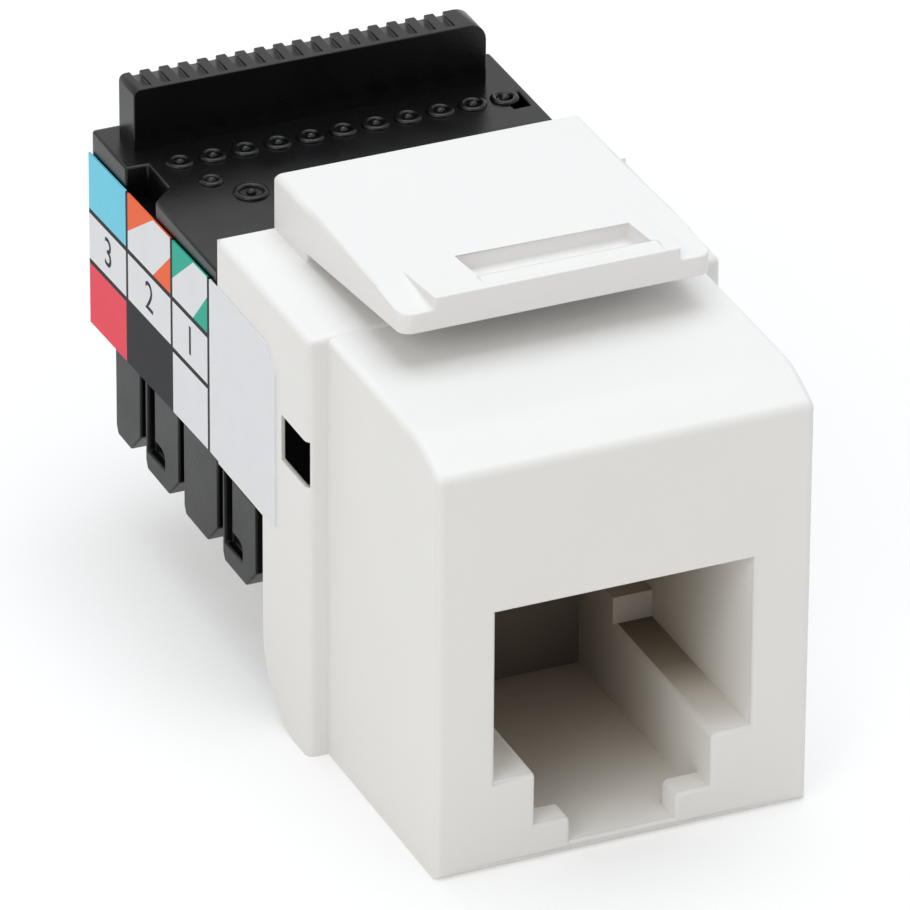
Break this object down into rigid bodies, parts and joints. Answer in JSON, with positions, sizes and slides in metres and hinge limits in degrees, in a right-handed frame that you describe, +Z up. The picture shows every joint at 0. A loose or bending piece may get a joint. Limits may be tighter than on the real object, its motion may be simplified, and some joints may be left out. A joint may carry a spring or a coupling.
{
  "type": "keystone jack",
  "caption": "Snap-in telephone jack module: plug port in front, sprung plate latch on top, push-down wire slots underneath at the rear.",
  "frame": {"origin": "mid-width, on the flat base, in the plane of the collar's front face, which stops against the wall plate", "axes": "+Y the way the plug goes in, +Z up towards the latch, +X to the right seen from the front"},
  "size_m": [0.0164, 0.0304, 0.0197],
  "materials": {
    "housing_plastic": "smooth moulded white plastic with a soft sheen",
    "block_plastic": "moulded black plastic, satin",
    "carrier_plastic": "moulded black plastic",
    "contact_metal": "gold-plated phosphor bronze wire",
    "blade_metal": "tin-plated bronze sheet",
    "board": "green lacquered glass-fibre board",
    "label_paper": "printed adhesive label"
  },
  "bodies": {
    "housing": {"front_housing": "housing_plastic", "contact_carrier": "carrier_plastic", "contact_leads": "contact_metal", "circuit_board": "board", "connector_block": "block_plastic", "top_cover": "block_plastic", "blade_left_1": "blade_metal", "blade_left_2": "blade_metal", "blade_left_3": "blade_metal", "blade_right_1": "blade_metal", "blade_right_2": "blade_metal", "blade_right_3": "blade_metal", "label_left": "label_paper", "label_right": "label_paper"},
    "latch": {"latch_arm": "housing_plastic"},
    "contact_1": {"contact_spring_1": "contact_metal"},
    "contact_2": {"contact_spring_2": "contact_metal"},
    "contact_3": {"contact_spring_3": "contact_metal"},
    "contact_4": {"contact_spring_4": "contact_metal"},
    "contact_5": {"contact_spring_5": "contact_metal"},
    "contact_6": {"contact_spring_6": "contact_metal"}
  },
  "joints": [
    {"name": "latch_flex", "type": "hinge", "parent": "housing", "child": "latch", "pos_m": [0, 0.0054, 0.01745], "axis": [1, 0, 0], "range_deg": [0, 8], "stiffness_Nm_per_rad": 1},
    {"name": "contact_flex_1", "type": "hinge", "parent": "housing", "child": "contact_1", "pos_m": [-0.00255, -0.00695, 0.01088], "axis": [1, 0, 0], "range_deg": [0, 14], "stiffness_Nm_per_rad": 0.015},
    {"name": "contact_flex_2", "type": "hinge", "parent": "housing", "child": "contact_2", "pos_m": [-0.00153, -0.00695, 0.01088], "axis": [1, 0, 0], "range_deg": [0, 14], "stiffness_Nm_per_rad": 0.015},
    {"name": "contact_flex_3", "type": "hinge", "parent": "housing", "child": "contact_3", "pos_m": [-0.00051, -0.00695, 0.01088], "axis": [1, 0, 0], "range_deg": [0, 14], "stiffness_Nm_per_rad": 0.015},
    {"name": "contact_flex_4", "type": "hinge", "parent": "housing", "child": "contact_4", "pos_m": [0.00051, -0.00695, 0.01088], "axis": [1, 0, 0], "range_deg": [0, 14], "stiffness_Nm_per_rad": 0.015},
    {"name": "contact_flex_5", "type": "hinge", "parent": "housing", "child": "contact_5", "pos_m": [0.00153, -0.00695, 0.01088], "axis": [1, 0, 0], "range_deg": [0, 14], "stiffness_Nm_per_rad": 0.015},
    {"name": "contact_flex_6", "type": "hinge", "parent": "housing", "child": "contact_6", "pos_m": [0.00255, -0.00695, 0.01088], "axis": [1, 0, 0], "range_deg": [0, 14], "stiffness_Nm_per_rad": 0.015}
  ]
}
